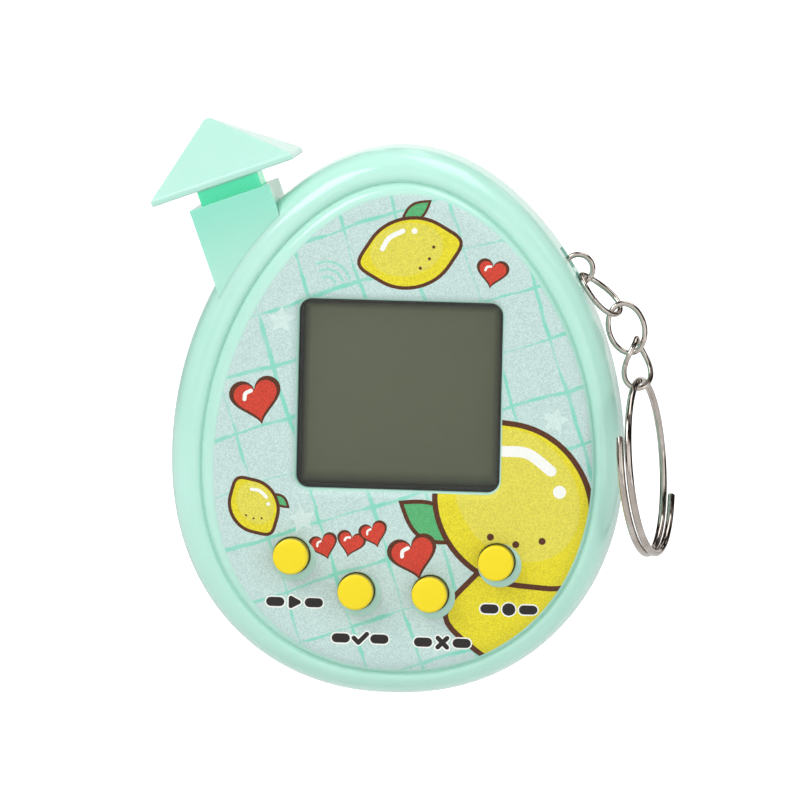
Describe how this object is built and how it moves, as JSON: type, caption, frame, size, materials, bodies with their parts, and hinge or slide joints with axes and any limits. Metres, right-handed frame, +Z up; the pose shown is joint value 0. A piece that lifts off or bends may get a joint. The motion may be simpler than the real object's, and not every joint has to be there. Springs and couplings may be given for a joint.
{
  "type": "virtual pet keychain",
  "caption": "Egg-shaped hand-held toy with a square display, round push buttons, a roof-shaped push knob on a slanted tower, and a key ring on a short chain.",
  "frame": {"origin": "on the flat back of the case, level with the middle of its height and width", "axes": "+Z up the face towards the narrow end of the egg, +X to the right as seen from the front, +Y out of the back, so the face looks along -Y"},
  "size_m": [0.0622, 0.0218, 0.0677],
  "materials": {
    "mint_plastic": "glossy moulded mint ABS",
    "printed_face": null,
    "yellow_plastic": "satin yellow",
    "black_plastic": "black",
    "display_glass": "olive grey display",
    "clear_plastic": "clear pane",
    "grey_rubber": "conductive silicone",
    "green_board": "solder mask",
    "tan_ceramic": "ceramic",
    "white_ceramic": "piezo ceramic",
    "steel": "plated steel",
    "brass": "brass disc",
    "nickel_plate": "nickel plated steel wire"
  },
  "bodies": {
    "case": {"front_shell": "mint_plastic", "back_shell": "mint_plastic", "display_lens": "clear_plastic", "lcd_frame": "black_plastic", "lcd_panel": "display_glass", "zebra_strip_upper": "grey_rubber", "zebra_strip_lower": "grey_rubber", "main_pcb": "green_board", "chip_blob": "black_plastic", "chip_resistor": "black_plastic", "chip_capacitor": "tan_ceramic", "crystal_can": "steel", "key_mat": "grey_rubber", "case_screw_top": "steel", "case_screw_bottom": "steel", "case_screw_left": "steel", "case_screw_right": "steel", "button_cell_1": "steel", "button_cell_2": "steel", "battery_contact_minus": "steel", "battery_contact_plus": "steel", "buzzer_plate": "brass", "buzzer_ceramic": "white_ceramic", "tower_housing": "mint_plastic", "tower_switch": "black_plastic", "knob_spring": "steel"},
    "battery_door": {"battery_door": "mint_plastic", "door_screw": "steel", "battery_link_plate": "steel"},
    "roof_knob": {"roof_knob": "mint_plastic"},
    "button_1": {"button_cap_1": "yellow_plastic"},
    "button_2": {"button_cap_2": "yellow_plastic"},
    "button_3": {"button_cap_3": "yellow_plastic"},
    "button_4": {"button_cap_4": "yellow_plastic"},
    "jump_ring": {"jump_ring": "nickel_plate"},
    "chain_link_1": {"chain_link_1": "nickel_plate"},
    "chain_link_2": {"chain_link_2": "nickel_plate"},
    "chain_link_3": {"chain_link_3": "nickel_plate"},
    "split_ring": {"split_ring": "nickel_plate"}
  },
  "joints": [
    {"name": "button_1_press", "type": "slide", "parent": "case", "child": "button_1", "axis": [0, 1, 0], "range_m": [0, 0.0008], "stiffness_N_per_m": 1200, "deforming": ["key_mat"]},
    {"name": "button_2_press", "type": "slide", "parent": "case", "child": "button_2", "axis": [0, 1, 0], "range_m": [0, 0.0008], "stiffness_N_per_m": 1200, "deforming": ["key_mat"]},
    {"name": "button_3_press", "type": "slide", "parent": "case", "child": "button_3", "axis": [0, 1, 0], "range_m": [0, 0.0008], "stiffness_N_per_m": 1200, "deforming": ["key_mat"]},
    {"name": "button_4_press", "type": "slide", "parent": "case", "child": "button_4", "axis": [0, 1, 0], "range_m": [0, 0.0008], "stiffness_N_per_m": 1200, "deforming": ["key_mat"]},
    {"name": "roof_push", "type": "slide", "parent": "case", "child": "roof_knob", "axis": [0.3502, 0, -0.9367], "range_m": [0, 0.0011], "stiffness_N_per_m": 900, "deforming": ["knob_spring"]},
    {"name": "door_lift", "type": "slide", "parent": "case", "child": "battery_door", "axis": [0, 1, 0], "range_m": [0, 0.012]},
    {"name": "jump_ring_swing", "type": "hinge", "parent": "case", "child": "jump_ring", "pos_m": [0.02025, -0.009, 0.0179], "axis": [0, 1, 0], "range_deg": [-20, 0]},
    {"name": "link_1_swing", "type": "hinge", "parent": "jump_ring", "child": "chain_link_1", "pos_m": [0.0214, -0.0092, 0.0176], "axis": [0, 1, 0], "range_deg": [-20, 0]},
    {"name": "link_2_swing", "type": "hinge", "parent": "chain_link_1", "child": "chain_link_2", "pos_m": [0.0259, -0.00955, 0.0132], "axis": [0, 1, 0], "range_deg": [-20, 0]},
    {"name": "link_3_swing", "type": "hinge", "parent": "chain_link_2", "child": "chain_link_3", "pos_m": [0.0282, -0.0101, 0.0103], "axis": [0, 1, 0], "range_deg": [-20, 0]},
    {"name": "split_ring_swing", "type": "hinge", "parent": "chain_link_3", "child": "split_ring", "pos_m": [0.0285, -0.01075, 0.0044], "axis": [1, 0, 0], "range_deg": [-20, 20]}
  ]
}
